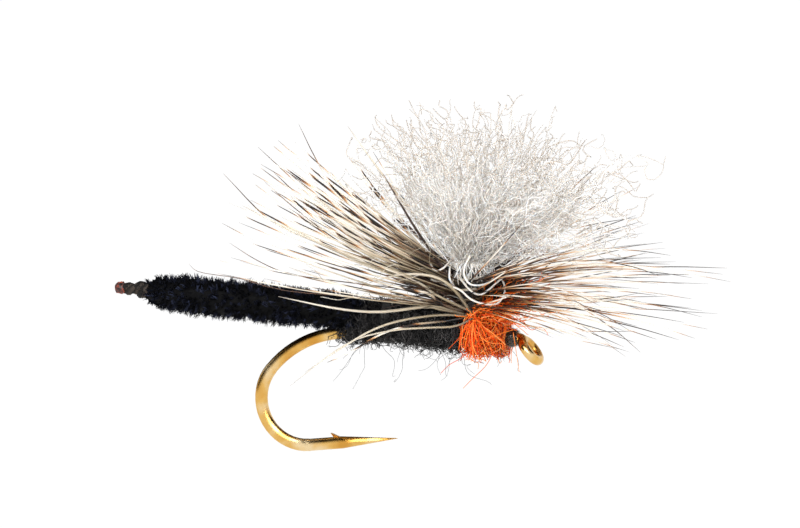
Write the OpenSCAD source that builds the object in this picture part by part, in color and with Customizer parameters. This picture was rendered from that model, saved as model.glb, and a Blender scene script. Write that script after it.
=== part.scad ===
// Parachute dry fly on a size 12 down-eye hook, with a chenille body that runs on past the bend.
// Millimetres. Origin at the centre of the hook eye, +X ahead along the shank, +Z up.

/* [Hook] */
// Diameter of the shank wire
wire_d = 0.55; // [0.48:0.01:0.65]
// Width of the forged bend, in the plane of the hook
forged_w = 0.62; // [0.52:0.01:0.75]
// Thickness of the forged bend across its flats
forged_t = 0.46; // [0.36:0.01:0.5]
// How much less the wire is flattened above and beyond the lower bend
forge_fade = 0.02; // [0.01:0.005:0.05]
// Length of the straight shank
shank_len = 8.6; // [8:0.1:9.5]
// Radius of the upper part of the bend
bend_upper_r = 5.2; // [4.6:0.1:6]
// Turn of the upper part of the bend, in degrees
bend_upper_turn = 50; // [40:1:60]
// Radius of the lower part of the bend
bend_lower_r = 2.25; // [1.8:0.05:2.8]
// Rise of the spear towards the point, in degrees
spear_rise = 6; // [0:1:12]
// Length of the spear from the bend to the point
spear_len = 4.5; // [3.8:0.1:5]
// Length of the ground point
point_len = 2.8; // [2:0.1:3.2]
// Flat left on the tip of the point
point_tip_d = 0.03; // [0.02:0.01:0.06]
// Distance from the point back to the tip of the barb
barb_back = 3.35; // [3:0.05:3.6]
// Length of the barb along the spear
barb_len = 0.7; // [0.5:0.05:0.9]
// Height of the barb's tip above the wire
barb_lift = 0.2; // [0.1:0.01:0.25]
// Thickness of the barb across the hook
barb_t = 0.24; // [0.15:0.01:0.3]
// Diameter of the wire round the eye
eye_wire_d = 0.48; // [0.4:0.01:0.54]
// Diameter of the hole in the eye
eye_hole_d = 0.76; // [0.6:0.02:1]
// Depth of the worn land inside the eye
eye_land = 0.02; // [0.01:0.005:0.04]
// Angle that the eye is turned down, in degrees
eye_turn = 52; // [30:1:60]
// Radius of the bend between the shank and the eye
neck_r = 0.3; // [0.28:0.02:0.5]

/* [Thread] */
// Thickness of a layer of tying thread
thread_t = 0.08; // [0.05:0.01:0.12]
// Thickness of the turns that bind the body and the wing
lash_t = 0.1; // [0.06:0.01:0.14]
// Width of one band of binding turns
lash_w = 0.4; // [0.25:0.05:0.6]
// Number of bands that bind the body
lash_count = 3; // [2:1:4]
// Length of the tapered thread head
head_len = 0.5; // [0.4:0.05:0.7]
// Largest diameter of the thread head
head_d = 0.92; // [0.8:0.02:1.1]
// Thickness of the clear cement on the head
cement_t = 0.04; // [0.02:0.01:0.08]
// Clearance between neighbouring pieces
fit = 0.02; // [0.01:0.005:0.03]

/* [Chenille body] */
// Distance from the eye back to the front end of the chenille
body_from_eye = 4.1; // [3.95:0.05:4.5]
// Diameter of the free chenille over its pile
chenille_d = 2; // [1.6:0.05:2.4]
// Diameter of the chenille where thread binds it down
chenille_tied_d = 1.44; // [1.2:0.02:1.6]
// Diameter of the chenille at its burnt end
chenille_end_d = 1.2; // [0.8:0.05:1.5]
// Length of the pile from its front end to its burnt end
chenille_len = 15.3; // [12:0.1:18]
// Length of the chenille that is bound to the shank
tied_len = 4.2; // [3.8:0.1:4.6]
// Length over which the pile swells from the bound to the free diameter
swell_len = 0.9; // [0.5:0.1:1.5]
// Length over which the pile thins towards the burnt end
thin_len = 0.9; // [0.5:0.1:1.5]
// Rise of the body towards the tail, in degrees
body_rise = 4.3; // [2:0.1:7]
// Diameter of the twisted core
core_d = 0.5; // [0.4:0.02:0.6]
// Length of bare core behind the pile
core_bare = 1.45; // [1:0.05:2]
// Length of one turn of the core's twist
core_lay = 1.1; // [0.8:0.05:1.5]
// Diameter of the melted bead on the end of the core
bead_d = 0.6; // [0.5:0.02:0.8]
// Length of the melted bead
bead_len = 0.45; // [0.3:0.05:0.6]

/* [Dubbing] */
// Length of the black dubbing along the body
abdomen_len = 4.1; // [3.6:0.1:4.4]
// Diameter of the black dubbing at its front end
abdomen_front_d = 2.5; // [2.3:0.05:2.8]
// Diameter of the black dubbing at its rear end
abdomen_rear_d = 2.46; // [2.4:0.02:2.7]
// Height of the front end's centre above the shank
abdomen_front_lift = 0.14; // [0.05:0.01:0.25]
// Height of the rear end's centre above the shank
abdomen_rear_lift = 0.61; // [0.55:0.01:0.7]
// Radius that rounds the ends of the black dubbing
abdomen_round = 0.22; // [0.1:0.01:0.28]
// Length of the orange dubbing along the shank
thorax_len = 2.65; // [2.55:0.05:2.7]
// Largest diameter of the orange dubbing
thorax_d = 2.54; // [2.2:0.02:2.8]
// Diameter of the orange dubbing where it meets the head
thorax_front_d = 1; // [0.95:0.05:1.4]
// Gap between the orange and the black dubbing
dubbing_gap = 0.06; // [0.02:0.01:0.1]

/* [Wing] */
// Distance from the eye back to the wing post
post_from_eye = 3.05; // [2.9:0.01:3.1]
// Diameter of the bound yarn post
post_d = 1.1; // [0.9:0.02:1.2]
// Height of the bound post above the shank
post_h = 2.8; // [2.7:0.05:3.2]
// Length of the yarn fibres above the post
wing_len = 8.6; // [7:0.1:10]
// Spread of the fibres fore and aft, in degrees from the middle
wing_fan = 50; // [40:1:54]
// Spread of the fibres to each side, in degrees from the middle
wing_side_fan = 38; // [25:1:45]
// How much shorter the shortest fibres are, as a part of the length
wing_ragged = 0.34; // [0.1:0.01:0.4]
// Forward lean of the wing, in degrees
wing_lean = 12; // [0:1:14]
// Rings of fibres in the post, six more in each ring than in the last
wing_rings = 6; // [5:1:6]

/* [Hackle] */
// Diameter of the feather's stem
stem_d = 0.14; // [0.1:0.01:0.15]
// Turns of the stem round the post
hackle_turns = 3.2; // [2.5:0.1:3.4]
// Rise of the stem in one turn
hackle_pitch = 0.55; // [0.55:0.01:0.58]
// Length of the longest barbs
hackle_len = 12; // [9:0.1:13]
// How much shorter the shortest barbs are
barb_shorter = 4.4; // [1:0.1:5]
// Slope of the lowest barbs, in degrees
barb_low = 1; // [1:1:6]
// Slope of the highest barbs, in degrees
barb_high = 21; // [15:1:26]
// Extra slope of the lowest barbs where they pass over the body, in degrees
barb_over_body = 13; // [10:1:16]
// Extra fall of the barbs that reach ahead over the eye, in degrees
barb_droop = 8; // [0:1:9]
// Half angle of the parting in the barbs ahead, left for tying the line to the eye, in degrees
barb_parting = 16; // [14:1:25]
// Half angle of the gap on the near side, where barbs are swept ahead and back, in degrees
barb_gap = 34; // [0:1:40]
// Extra slope of the clumps of barbs that stand highest, in degrees
barb_scatter = 9; // [0:1:10]
// Rise of the tips of the barbs towards the tail, from their curve
barb_upturn = 1; // [0.4:0.1:1.2]
// Fall of the tips of the barbs ahead, from their curve
barb_sag = 1.3; // [0.5:0.1:1.4]

/* [Hidden] */
$fn = 64;

// Hook: the eye's ring, the shank's ends and the two arcs of the bend
eye_r = (eye_hole_d + eye_wire_d) / 2 - eye_land;
shank_x = -eye_r * cos(eye_turn) - neck_r * sin(eye_turn);
shank_z = eye_r * sin(eye_turn) + neck_r * (1 - cos(eye_turn));
bend_x = shank_x - shank_len;
upper_c = [bend_x, shank_z - bend_upper_r];
upper_end = 90 + bend_upper_turn;
spear_from = 270 + spear_rise;
lower_c = upper_c + (bend_upper_r - bend_lower_r) * [cos(upper_end), sin(upper_end)];
spear_start = lower_c + bend_lower_r * [cos(spear_from), sin(spear_from)];
// Neighbouring stretches of the wire run a short way into each other
weld = 0.05;
weld_turn = weld / bend_upper_r * 180 / PI;

// Thread: the sleeve over the shank and the outside of the binding turns
base_r = wire_d / 2 + thread_t;
bound_r = base_r + lash_t;
head_rear_x = shank_x - head_len;
tied_r = chenille_tied_d / 2;

// Body: the chenille's core lies on the thread at its front end
body_z = shank_z + base_r + fit + core_d / 2;
bore_r = core_d / 2 + fit;

// Dubbing: the orange ends at the head, the black begins behind the orange
thorax_rear_x = head_rear_x - fit - thorax_len;
abdomen_x = thorax_rear_x - dubbing_gap;
abdomen_rise = atan((abdomen_rear_lift - abdomen_front_lift) / abdomen_len);

// Wing and hackle: the post stands on the thread, its wraps begin above the orange dubbing
post_x = -post_from_eye;
post_z = shank_z + base_r + fit;
post_top = post_z + post_h;
wraps_z = shank_z + thorax_d / 2 + fit;
coil_r = post_d / 2 + thread_t + fit + stem_d / 2;
coil_z = wraps_z + stem_d / 2 + fit;
stem_sides = 6;
stem_rings_per_turn = 24;
stem_rings = floor(hackle_turns * stem_rings_per_turn);

// Moves a piece made along +Z to lie along the shank, from x towards the tail
module along_shank(x) {
    translate([x, 0, shank_z]) rotate([0, -90, 0]) children();
}

// Moves a piece made along +Z to lie along the chenille, from its front end towards the tail
module along_body() {
    translate([-body_from_eye, 0, body_z]) rotate([0, body_rise - 90, 0]) children();
}

// An arc of wire in the plane of the hook, of the given section, about c
module wire_arc(c, r, from, to) {
    translate([c[0], 0, c[1]]) rotate([90, 0, 0]) rotate([0, 0, from])
        rotate_extrude(angle = to - from) translate([r, 0]) children();
}

// The flattened section of the forged wire, rounder where the forging fades
module forged_section(fade) {
    intersection() {
        circle(d = forged_w - fade);
        square([forged_w, forged_t + fade], center = true);
    }
}

// The ring of the eye, with a short cylinder inside where the wire is worn flat
module eye_ring() {
    rotate([0, eye_turn, 0]) rotate_extrude() intersection() {
        translate([eye_r, 0]) circle(d = eye_wire_d);
        translate([eye_hole_d / 2, -eye_wire_d]) square(2 * eye_wire_d);
    }
}

// The straight spear with its ground point and its raised barb, made along +Z
module spear() {
    straight = spear_len - point_len;
    translate([0, 0, -weld]) linear_extrude(straight + weld) forged_section(forge_fade);
    translate([0, 0, straight]) intersection() {
        cylinder(d1 = forged_w - forge_fade, d2 = point_tip_d, h = point_len);
        translate([-forged_w, -(forged_t + forge_fade) / 2, 0])
            cube([2 * forged_w, forged_t + forge_fade, point_len]);
    }
    barb();
}

// The barb is a sliver cut up from the wire, its tip towards the bend
module barb() {
    tip = spear_len - barb_back;
    root = forged_w / 4;
    rotate([90, 0, 0]) linear_extrude(barb_t, center = true) polygon([
        [-forged_w / 2 - barb_lift, tip],
        [-root, tip + barb_len],
        [-root, tip + barb_len / 3]
    ]);
}

module hook() {
    color("#c79a3e") {
        eye_ring();
        wire_arc([shank_x, shank_z - neck_r], neck_r, 90 - eye_turn, 90) circle(d = eye_wire_d);
        along_shank(shank_x) cylinder(d = wire_d, h = shank_len);
        wire_arc(upper_c, bend_upper_r, 90, upper_end + weld_turn) forged_section(forge_fade);
        wire_arc(lower_c, bend_lower_r, upper_end, spear_from) forged_section(0);
        translate([spear_start[0], 0, spear_start[1]]) rotate([0, 90 - spear_rise, 0]) spear();
    }
}

// A sleeve of close thread turns over the shank
module thread_base() {
    color("#20201f") along_shank(head_rear_x - fit) difference() {
        cylinder(r = base_r, h = shank_len - head_len - fit);
        translate([0, 0, -1]) cylinder(d = wire_d, h = shank_len + 2);
    }
}

// Two twisted plies: round where the pile grips them, lobed where they are bare
module body_core() {
    ply = core_d * 0.56;
    color("#4a3d33") along_body() {
        cylinder(d = core_d, h = chenille_len);
        translate([0, 0, chenille_len - fit])
            linear_extrude(core_bare + fit, twist = -360 * core_bare / core_lay, slices = 12, $fn = 8)
                for (side = [-1, 1]) translate([side * (core_d - ply) / 2, 0]) circle(d = ply);
    }
}

// Radius of the pile at a distance along the chenille
function eased(t) = (1 - cos(180 * max(0, min(1, t)))) / 2;
function pile_r(s) = tied_r
    + (chenille_d / 2 - tied_r) * eased((s - tied_len) / swell_len)
    - (chenille_d - chenille_end_d) / 2 * eased((s - chenille_len + thin_len) / thin_len);

// Chenille pile round the core, with a channel pressed into its underside by the hook
module body_pile() {
    steps = 8;
    swell = [for (i = [0 : steps]) tied_len + swell_len * i / steps];
    thin = [for (i = [0 : steps]) chenille_len - thin_len + thin_len * i / steps];
    color("#16171c") difference() {
        along_body() rotate_extrude() polygon(concat(
            [[bore_r, 0], [tied_r, 0]],
            [for (s = concat(swell, thin)) [pile_r(s), s]],
            [[bore_r, chenille_len]]
        ));
        along_shank(head_rear_x) cylinder(r = base_r + fit, h = shank_len);
        wire_arc(upper_c, bend_upper_r, 90, upper_end)
            square([forged_w + 2 * fit, forged_t + 2 * fit], center = true);
    }
}

// The bead that forms where the bare end of the core is melted
module singed_tip() {
    color("#6b2f22") along_body() translate([0, 0, chenille_len + core_bare]) intersection() {
        translate([0, 0, bead_len / 2]) sphere(d = bead_d);
        translate([-bead_d, -bead_d, 0]) cube([2 * bead_d, 2 * bead_d, bead_len]);
    }
}

// The chenille and the shank together, as the binding turns go round them
module bound_pair(grow) {
    along_body() cylinder(r = tied_r + grow, h = tied_len);
    along_shank(-body_from_eye) cylinder(r = base_r + grow, h = tied_len);
    translate([-body_from_eye - tied_len, -base_r - grow, shank_z])
        cube([tied_len, 2 * (base_r + grow), body_z - shank_z]);
}

// Bands of thread that bind the chenille down on the shank
module body_lashing() {
    spacing = (tied_len - 2 * lash_w) / lash_count;
    color("#20201f") for (i = [0 : lash_count - 1])
        intersection() {
            difference() {
                bound_pair(fit + lash_t);
                bound_pair(fit);
            }
            translate([-body_from_eye - lash_w - spacing * (i + 0.5), -chenille_d, -chenille_d])
                cube([lash_w, 2 * chenille_d, 4 * chenille_d]);
        }
}

// Black dubbing spun over the bound chenille
module abdomen_dubbing() {
    front_r = abdomen_front_d / 2;
    rear_r = abdomen_rear_d / 2;
    length = abdomen_len / cos(abdomen_rise);
    color("#141417") difference() {
        translate([abdomen_x, 0, shank_z + abdomen_front_lift]) rotate([0, abdomen_rise - 90, 0])
            rotate_extrude() polygon(concat(
                [[0, 0]],
                [for (a = [0 : 15 : 90]) [front_r - abdomen_round * (1 - sin(a)), abdomen_round * (1 - cos(a))]],
                [for (a = [0 : 15 : 90])
                    [rear_r - abdomen_round * (1 - cos(a)), length - abdomen_round * (1 - sin(a))]],
                [[0, length]]
            ));
        bound_pair(2 * fit + lash_t);
        along_shank(abdomen_x + 1) cylinder(r = bound_r + 2 * fit, h = abdomen_len + 2);
    }
}

// Turns of thread on the shank ahead of and behind the post
module wing_lashing() {
    color("#20201f") for (side = [-1, 1])
        along_shank(post_x - side * (post_d / 2 + fit + lash_w / 2) + lash_w / 2) difference() {
            cylinder(r = bound_r, h = lash_w);
            translate([0, 0, -1]) cylinder(r = base_r, h = lash_w + 2);
        }
}

// A strand that grows out of one triangle of its backing: scaled copies of the triangle are
// set along the path, and the last path point is the tip. Points first, then faces.
function triangle_centre(t) = (t[0] + t[1] + t[2]) / 3;
function strand_points(t, path, widths) = let (c = triangle_centre(t)) concat(
    [for (j = [0 : len(widths) - 1]) each [for (v = t) path[j] + widths[j] * (v - c)]],
    [path[len(widths)]]
);
function strand_faces(root, first, rings) = concat(
    [for (j = [0 : rings - 1], k = [0 : 2]) each let (
        a = j == 0 ? root[k] : first + 3 * (j - 1) + k,
        b = j == 0 ? root[(k + 1) % 3] : first + 3 * (j - 1) + (k + 1) % 3,
        c = first + 3 * j + (k + 1) % 3,
        d = first + 3 * j + k
    ) [[a, b, c], [a, c, d]]],
    [for (k = [0 : 2])
        [first + 3 * (rings - 1) + k, first + 3 * (rings - 1) + (k + 1) % 3, first + 3 * rings]]
);

// Yarn post: a round stub whose cut end is divided into triangles, each the root of one fibre
wing_at = [0, 0.4, 0.72, 1];
wing_lead = 0.8;
wing_crinkle = 0.025;
wing_widths = [0.8, 0.7, 0.55];
wing_seed = 11;
cap_count = 1 + 3 * wing_rings * (wing_rings + 1);
function cap_index(ring, i) = ring == 0 ? 0 : 1 + 3 * ring * (ring - 1) + i % (6 * ring);
function cap_point(ring, i) = ring == 0 ? [post_x, 0, post_top]
    : [post_x, 0, post_top] + post_d / 2 * ring / wing_rings * [cos(60 * i / ring), sin(60 * i / ring), 0];
cap_points = [for (ring = [0 : wing_rings], i = [0 : max(0, 6 * ring - 1)]) cap_point(ring, i)];
cap_roots = [for (ring = [1 : wing_rings], sector = [0 : 5]) each concat(
    [for (j = [0 : ring - 1]) [
        cap_index(ring - 1, sector * (ring - 1) + j),
        cap_index(ring, sector * ring + j + 1),
        cap_index(ring, sector * ring + j)
    ]],
    ring == 1 ? [] : [for (j = [0 : ring - 2]) [
        cap_index(ring - 1, sector * (ring - 1) + j),
        cap_index(ring - 1, sector * (ring - 1) + j + 1),
        cap_index(ring, sector * ring + j + 1)
    ]]
)];
// Fibres lean away from the middle in proportion to their place in the post, fully so past a short
// lead, with a slight crinkle
function wing_path(c, n) = let (
    out = (c - [post_x, 0, post_top]) / (post_d / 2),
    heading = [tan(wing_fan * out[0] + wing_lean), tan(wing_side_fan * out[1]), 1],
    dir = heading / norm(heading),
    chance = rands(-1, 1, 7, wing_seed + n),
    reach = wing_len * (1 - wing_ragged * (1 + chance[6]) / 2) - wing_lead
) [for (j = [0 : len(wing_at) - 1]) c + wing_lead * (dir + [0, 0, 1]) / 2
    + reach * (wing_at[j] * dir + wing_crinkle * pow(wing_at[j], 2) * [chance[j], chance[j + 3], 0])];

module wing_post() {
    rim = 6 * wing_rings;
    foot = [for (i = [0 : rim - 1])
        [post_x, 0, post_z] + post_d / 2 * [cos(360 * i / rim), sin(360 * i / rim), 0]];
    foot_at = cap_count;
    strands_at = cap_count + rim;
    per_strand = 3 * len(wing_widths) + 1;
    strand_pts = [for (n = [0 : len(cap_roots) - 1]) let (t = [for (v = cap_roots[n]) cap_points[v]])
        each strand_points(t, wing_path(triangle_centre(t), n), wing_widths)];
    walls = [for (i = [0 : rim - 1]) each let (
        a = cap_index(wing_rings, i), b = cap_index(wing_rings, i + 1),
        c = foot_at + (i + 1) % rim, d = foot_at + i
    ) [[a, b, c], [a, c, d]]];
    bottom = [for (i = [1 : rim - 2]) [foot_at, foot_at + i, foot_at + i + 1]];
    fibres = [for (n = [0 : len(cap_roots) - 1])
        each strand_faces(cap_roots[n], strands_at + n * per_strand, len(wing_widths))];
    color("#c9c2b0") polyhedron(concat(cap_points, foot, strand_pts), concat(walls, bottom, fibres));
}

// Thread wound up the post, the seat of the hackle
module post_wraps() {
    color("#20201f") translate([post_x, 0, wraps_z]) difference() {
        cylinder(d = post_d + 2 * thread_t, h = post_top - wraps_z - fit);
        translate([0, 0, -1]) cylinder(d = post_d, h = post_h + 2);
    }
}

// Hackle: the feather's stem climbs the post in a helix, and the barbs grow from its outer faces
barb_at = [0.05, 0.4, 0.75, 1];
barb_widths = [0.42, 0.4, 0.32];
barb_seed = 400;
stem_step = 360 / stem_rings_per_turn;
function stem_angle(i) = 200 + i * stem_step;
function stem_centre(i) = [
    post_x + coil_r * cos(stem_angle(i)), coil_r * sin(stem_angle(i)),
    coil_z + hackle_pitch * i / stem_rings_per_turn
];
function stem_point(i, k) = let (a = 360 / stem_sides * k) stem_centre(i)
    + stem_d / 2 * [cos(a) * cos(stem_angle(i)), cos(a) * sin(stem_angle(i)), sin(a)];
function stem_index(i, k) = i * stem_sides + k % stem_sides;
stem_points = [for (i = [0 : stem_rings], k = [0 : stem_sides - 1]) stem_point(i, k)];
function stem_halves(i, k) = [
    [stem_index(i, k), stem_index(i, k + 1), stem_index(i + 1, k + 1)],
    [stem_index(i, k), stem_index(i + 1, k + 1), stem_index(i + 1, k)]
];
// Every second one of the outer triangles carries a barb, above and below the middle by turns
function carries_barb(i, k, half) = (k == 0 && (i + half) % 2 == 0)
    || (k == stem_sides - 1 && (i + half) % 2 == 1);
barb_roots = [for (i = [0 : stem_rings - 1], k = [0, stem_sides - 1], half = [0, 1])
    if (carries_barb(i, k, half)) [i, k, half]];
// Angle from straight ahead, from -180 to 180, and that angle pushed away from a parting in the barbs
parting_reach = 70;
function ahead_angle(a) = a - 360 * floor((a + 180) / 360);
function parted(a, middle, half) = let (off = ahead_angle(a - middle), side = off < 0 ? -1 : 1)
    abs(off) > parting_reach ? a : middle + side * (half + abs(off) * (1 - half / parting_reach));
function both_parted(a) = ahead_angle(parted(parted(a, 0, barb_parting), -90, barb_gap));
// Barbs of one stretch of stem share a slope and a turn and then spread, so that none cross
function barb_path(c, n) = let (
    i = barb_roots[n][0],
    up = i / stem_rings,
    turned = stem_angle(i) + stem_step * rands(0.38, 0.62, 1, barb_seed + i)[0],
    middle = both_parted(turned),
    towards_tail = pow(max(0, -cos(middle)), 2),
    towards_eye = pow(max(0, cos(middle)), 2),
    clump = (sin(5 * middle + 60) + sin(8 * middle) + 2) / 4,
    over_body = barb_over_body * (1 - 0.6 * up) * exp(-pow((180 - abs(middle)) / 26, 2)),
    slope = barb_low + (barb_high - barb_low) * up + (barb_roots[n][1] == 0 ? 2 : -2)
        + over_body - barb_droop * towards_eye + barb_scatter * clump,
    azimuth = both_parted(turned + stem_step * (barb_roots[n][2] - 0.5) / 2),
    length = hackle_len - rands(0, barb_shorter, 1, 4 * barb_seed + n)[0],
    curve = barb_upturn * towards_tail - barb_sag * towards_eye
) [for (s = barb_at) c + length * s * [cos(slope) * cos(azimuth), cos(slope) * sin(azimuth), sin(slope)]
    + [0, 0, curve * s * s]];

module parachute_hackle() {
    strands_at = len(stem_points);
    per_strand = 3 * len(barb_widths) + 1;
    roots = [for (b = barb_roots) stem_halves(b[0], b[1])[b[2]]];
    barb_pts = [for (n = [0 : len(roots) - 1]) let (t = [for (v = roots[n]) stem_points[v]])
        each strand_points(t, barb_path(triangle_centre(t), n), barb_widths)];
    stem_faces = [for (i = [0 : stem_rings - 1], k = [0 : stem_sides - 1], half = [0, 1])
        if (!carries_barb(i, k, half)) stem_halves(i, k)[half]];
    ends = [for (k = [1 : stem_sides - 2]) each [
        [stem_index(0, 0), stem_index(0, k + 1), stem_index(0, k)],
        [stem_index(stem_rings, 0), stem_index(stem_rings, k), stem_index(stem_rings, k + 1)]
    ]];
    barbs = [for (n = [0 : len(roots) - 1])
        each strand_faces(roots[n], strands_at + n * per_strand, len(barb_widths))];
    color("#8a7a64") polyhedron(concat(stem_points, barb_pts), concat(stem_faces, ends, barbs));
}

// Least gap between the turns of the stem
stem_gap = min([for (i = [0 : stem_rings - 12], j = [i + 12 : stem_rings])
    norm(stem_centre(i) - stem_centre(j))]) - stem_d;
echo(stem_gap = stem_gap, fibres = len(cap_roots), barbs = len(barb_roots));

// Orange dubbing spun round the foot of the post, from the black dubbing to the head
module thorax_dubbing() {
    steps = 14;
    front = thorax_front_d / 2;
    swell = thorax_d / 2 - front;
    color("#d9591c") difference() {
        along_shank(head_rear_x - fit) rotate_extrude() polygon(concat(
            [[0, 0]],
            [for (i = [0 : steps]) [front + swell * sin(115 * i / steps), thorax_len * i / steps]],
            [[0, thorax_len]]
        ));
        along_shank(head_rear_x + 1) cylinder(r = bound_r + fit, h = thorax_len + 2);
        translate([post_x, 0, shank_z]) cylinder(d = post_d + 2 * fit, h = post_h);
    }
}

// The profile of the thread head along the shank, from the eye back, grown outwards by t
module head_profile(t) {
    front = wire_d / 2 + thread_t;
    polygon([
        [wire_d / 2, 0], [front + t, 0], [head_d / 2 + t, head_len * 0.6],
        [head_d / 2 + t, head_len * 0.8], [front + thread_t + t, head_len], [wire_d / 2, head_len]
    ]);
}

// Whipped turns of thread that close the fly behind the eye
module head_wraps() {
    color("#1a1a1a") along_shank(shank_x) rotate_extrude() head_profile(0);
}

// A clear film of cement over the head
module head_cement() {
    color("#3a3a38", 0.6) along_shank(shank_x) rotate_extrude() difference() {
        head_profile(cement_t);
        head_profile(0);
    }
}

hook();
thread_base();
body_core();
body_pile();
singed_tip();
body_lashing();
abdomen_dubbing();
wing_lashing();
wing_post();
post_wraps();
parachute_hackle();
thorax_dubbing();
head_wraps();
head_cement();
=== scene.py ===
"""A parachute dry fly: gold hook, black chenille body, dubbing, yarn wing and barred hackle."""

import bpy
import numpy as np
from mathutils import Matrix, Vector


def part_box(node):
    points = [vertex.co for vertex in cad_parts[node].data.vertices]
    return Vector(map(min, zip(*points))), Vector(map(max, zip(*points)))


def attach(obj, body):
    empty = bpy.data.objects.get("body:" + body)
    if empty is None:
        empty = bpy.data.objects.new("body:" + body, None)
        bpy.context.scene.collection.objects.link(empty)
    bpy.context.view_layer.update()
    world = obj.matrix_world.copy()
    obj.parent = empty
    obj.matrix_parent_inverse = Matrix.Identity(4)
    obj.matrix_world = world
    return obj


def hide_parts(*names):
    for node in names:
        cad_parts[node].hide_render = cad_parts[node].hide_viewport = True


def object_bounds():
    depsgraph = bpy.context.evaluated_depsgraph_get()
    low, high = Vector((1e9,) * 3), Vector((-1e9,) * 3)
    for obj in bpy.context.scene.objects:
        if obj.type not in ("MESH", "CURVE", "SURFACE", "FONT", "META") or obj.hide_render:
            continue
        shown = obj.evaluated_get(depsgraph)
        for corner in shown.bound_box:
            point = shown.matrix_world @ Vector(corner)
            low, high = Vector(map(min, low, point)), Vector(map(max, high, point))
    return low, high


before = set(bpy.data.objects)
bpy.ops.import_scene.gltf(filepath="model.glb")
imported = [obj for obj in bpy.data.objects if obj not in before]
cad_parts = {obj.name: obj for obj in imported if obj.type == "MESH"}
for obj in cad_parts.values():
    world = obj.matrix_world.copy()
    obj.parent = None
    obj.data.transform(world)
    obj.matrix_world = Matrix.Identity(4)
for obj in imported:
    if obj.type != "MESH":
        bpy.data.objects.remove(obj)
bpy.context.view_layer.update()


# The hook is one length of carbon steel wire: turned down into an eye at the front, hammered flat
# round the bend, ground to a point and cut for a barb. It is plated bright gold, and the smooth
# plating mirrors the white room and, in long dark bands, the dark cards above it.
mm = 0.001


def linear(code):
    """Linear RGBA of an sRGB hex colour."""
    srgb = [int(code[i : i + 2], 16) / 255 for i in (1, 3, 5)]
    return (*[c / 12.92 if c <= 0.04045 else ((c + 0.055) / 1.055) ** 2.4 for c in srgb], 1.0)


def add(tree, kind, inputs=None, stops=None, **settings):
    """Adds a node, sets it up, and sets or links its inputs. stops are a colour ramp's."""
    made = tree.nodes.new(kind)
    for name, value in settings.items():
        setattr(made, name, value)
    for name, value in (inputs or {}).items():
        if isinstance(value, bpy.types.NodeSocket):
            tree.links.new(value, made.inputs[name])
        else:
            made.inputs[name].default_value = value
    if stops:
        elements = made.color_ramp.elements
        while len(elements) < len(stops):
            elements.new(1.0)
        for element, (place, code) in zip(elements, stops):
            element.position = place
            element.color = linear(code)
    return made


def bare_tree(name):
    """A new material's node tree with only its output, and the material."""
    material = bpy.data.materials.new(name)
    material.use_nodes = True
    material.node_tree.nodes.clear()
    return material, material.node_tree


plating_cloud = 1.4 * mm
edge_round = 0.45 * mm
# Real drawing marks are finer, and these are as coarse as they need to be to show
drawing_mark = 0.06 * mm
drawing_depth = 0.004 * mm
gold_plate, tree = bare_tree("gold_plated_steel")
place = add(tree, "ShaderNodeTexCoord").outputs["Object"]
cloud = add(tree, "ShaderNodeTexNoise", {"Vector": place, "Scale": 1 / plating_cloud, "Detail": 3.0})
marks = add(tree, "ShaderNodeTexNoise", {"Vector": place, "Scale": 1 / drawing_mark, "Detail": 2.0})
tint = add(
    tree, "ShaderNodeValToRGB", {"Fac": cloud.outputs["Fac"]},
    stops=[(0.35, "#cf9742"), (0.52, "#e0b364"), (0.68, "#ecd2a2")],
)
gloss = add(
    tree, "ShaderNodeMapRange",
    {"Value": cloud.outputs["Fac"], "From Min": 0.3, "From Max": 0.7, "To Min": 0.07, "To Max": 0.16},
)
soft_edge = add(tree, "ShaderNodeBevel", {"Radius": edge_round}, samples=16)
scratch = add(
    tree, "ShaderNodeBump",
    {
        "Height": marks.outputs["Fac"], "Strength": 0.1, "Distance": drawing_depth,
        "Normal": soft_edge.outputs["Normal"],
    },
)
metal = add(
    tree, "ShaderNodeBsdfPrincipled",
    {
        "Base Color": tint.outputs["Color"], "Metallic": 1.0,
        "Roughness": gloss.outputs["Result"], "Normal": scratch.outputs["Normal"],
    },
)
add(tree, "ShaderNodeOutputMaterial", {"Surface": metal.outputs["BSDF"]})
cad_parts["hook"].material_slots[0].material = gold_plate


# Black tying thread, waxed nylon, is laid in close turns along the shank, round the chenille, round
# the foot of the wing and up the post. The dubbing and the hackle hide nearly all of it.
thread_pitch = 0.07 * mm
thread_ridge = 0.02 * mm
wave_at_scale_1 = 0.314
waxed_thread, tree = bare_tree("waxed_nylon_thread")
place = add(tree, "ShaderNodeTexCoord").outputs["Object"]
turns = add(
    tree, "ShaderNodeTexWave",
    {"Vector": place, "Scale": wave_at_scale_1 / thread_pitch, "Distortion": 0.6, "Detail": 1.0},
)
# The colour follows the ridges: painted shade in the grooves between turns, lighter on their crowns
shade = add(
    tree, "ShaderNodeValToRGB", {"Fac": turns.outputs["Fac"]}, stops=[(0.1, "#0b0b0b"), (0.9, "#2b2a29")]
)
ridges = add(
    tree, "ShaderNodeBump", {"Height": turns.outputs["Fac"], "Strength": 0.6, "Distance": thread_ridge}
)
cloth = add(
    tree, "ShaderNodeBsdfPrincipled",
    {"Base Color": shade.outputs["Color"], "Roughness": 0.45, "Normal": ridges.outputs["Normal"]},
)
add(tree, "ShaderNodeOutputMaterial", {"Surface": cloth.outputs["BSDF"]})
for name in ("thread_base", "body_lashing", "wing_lashing", "post_wraps"):
    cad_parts[name].material_slots[0].material = waxed_thread


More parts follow.
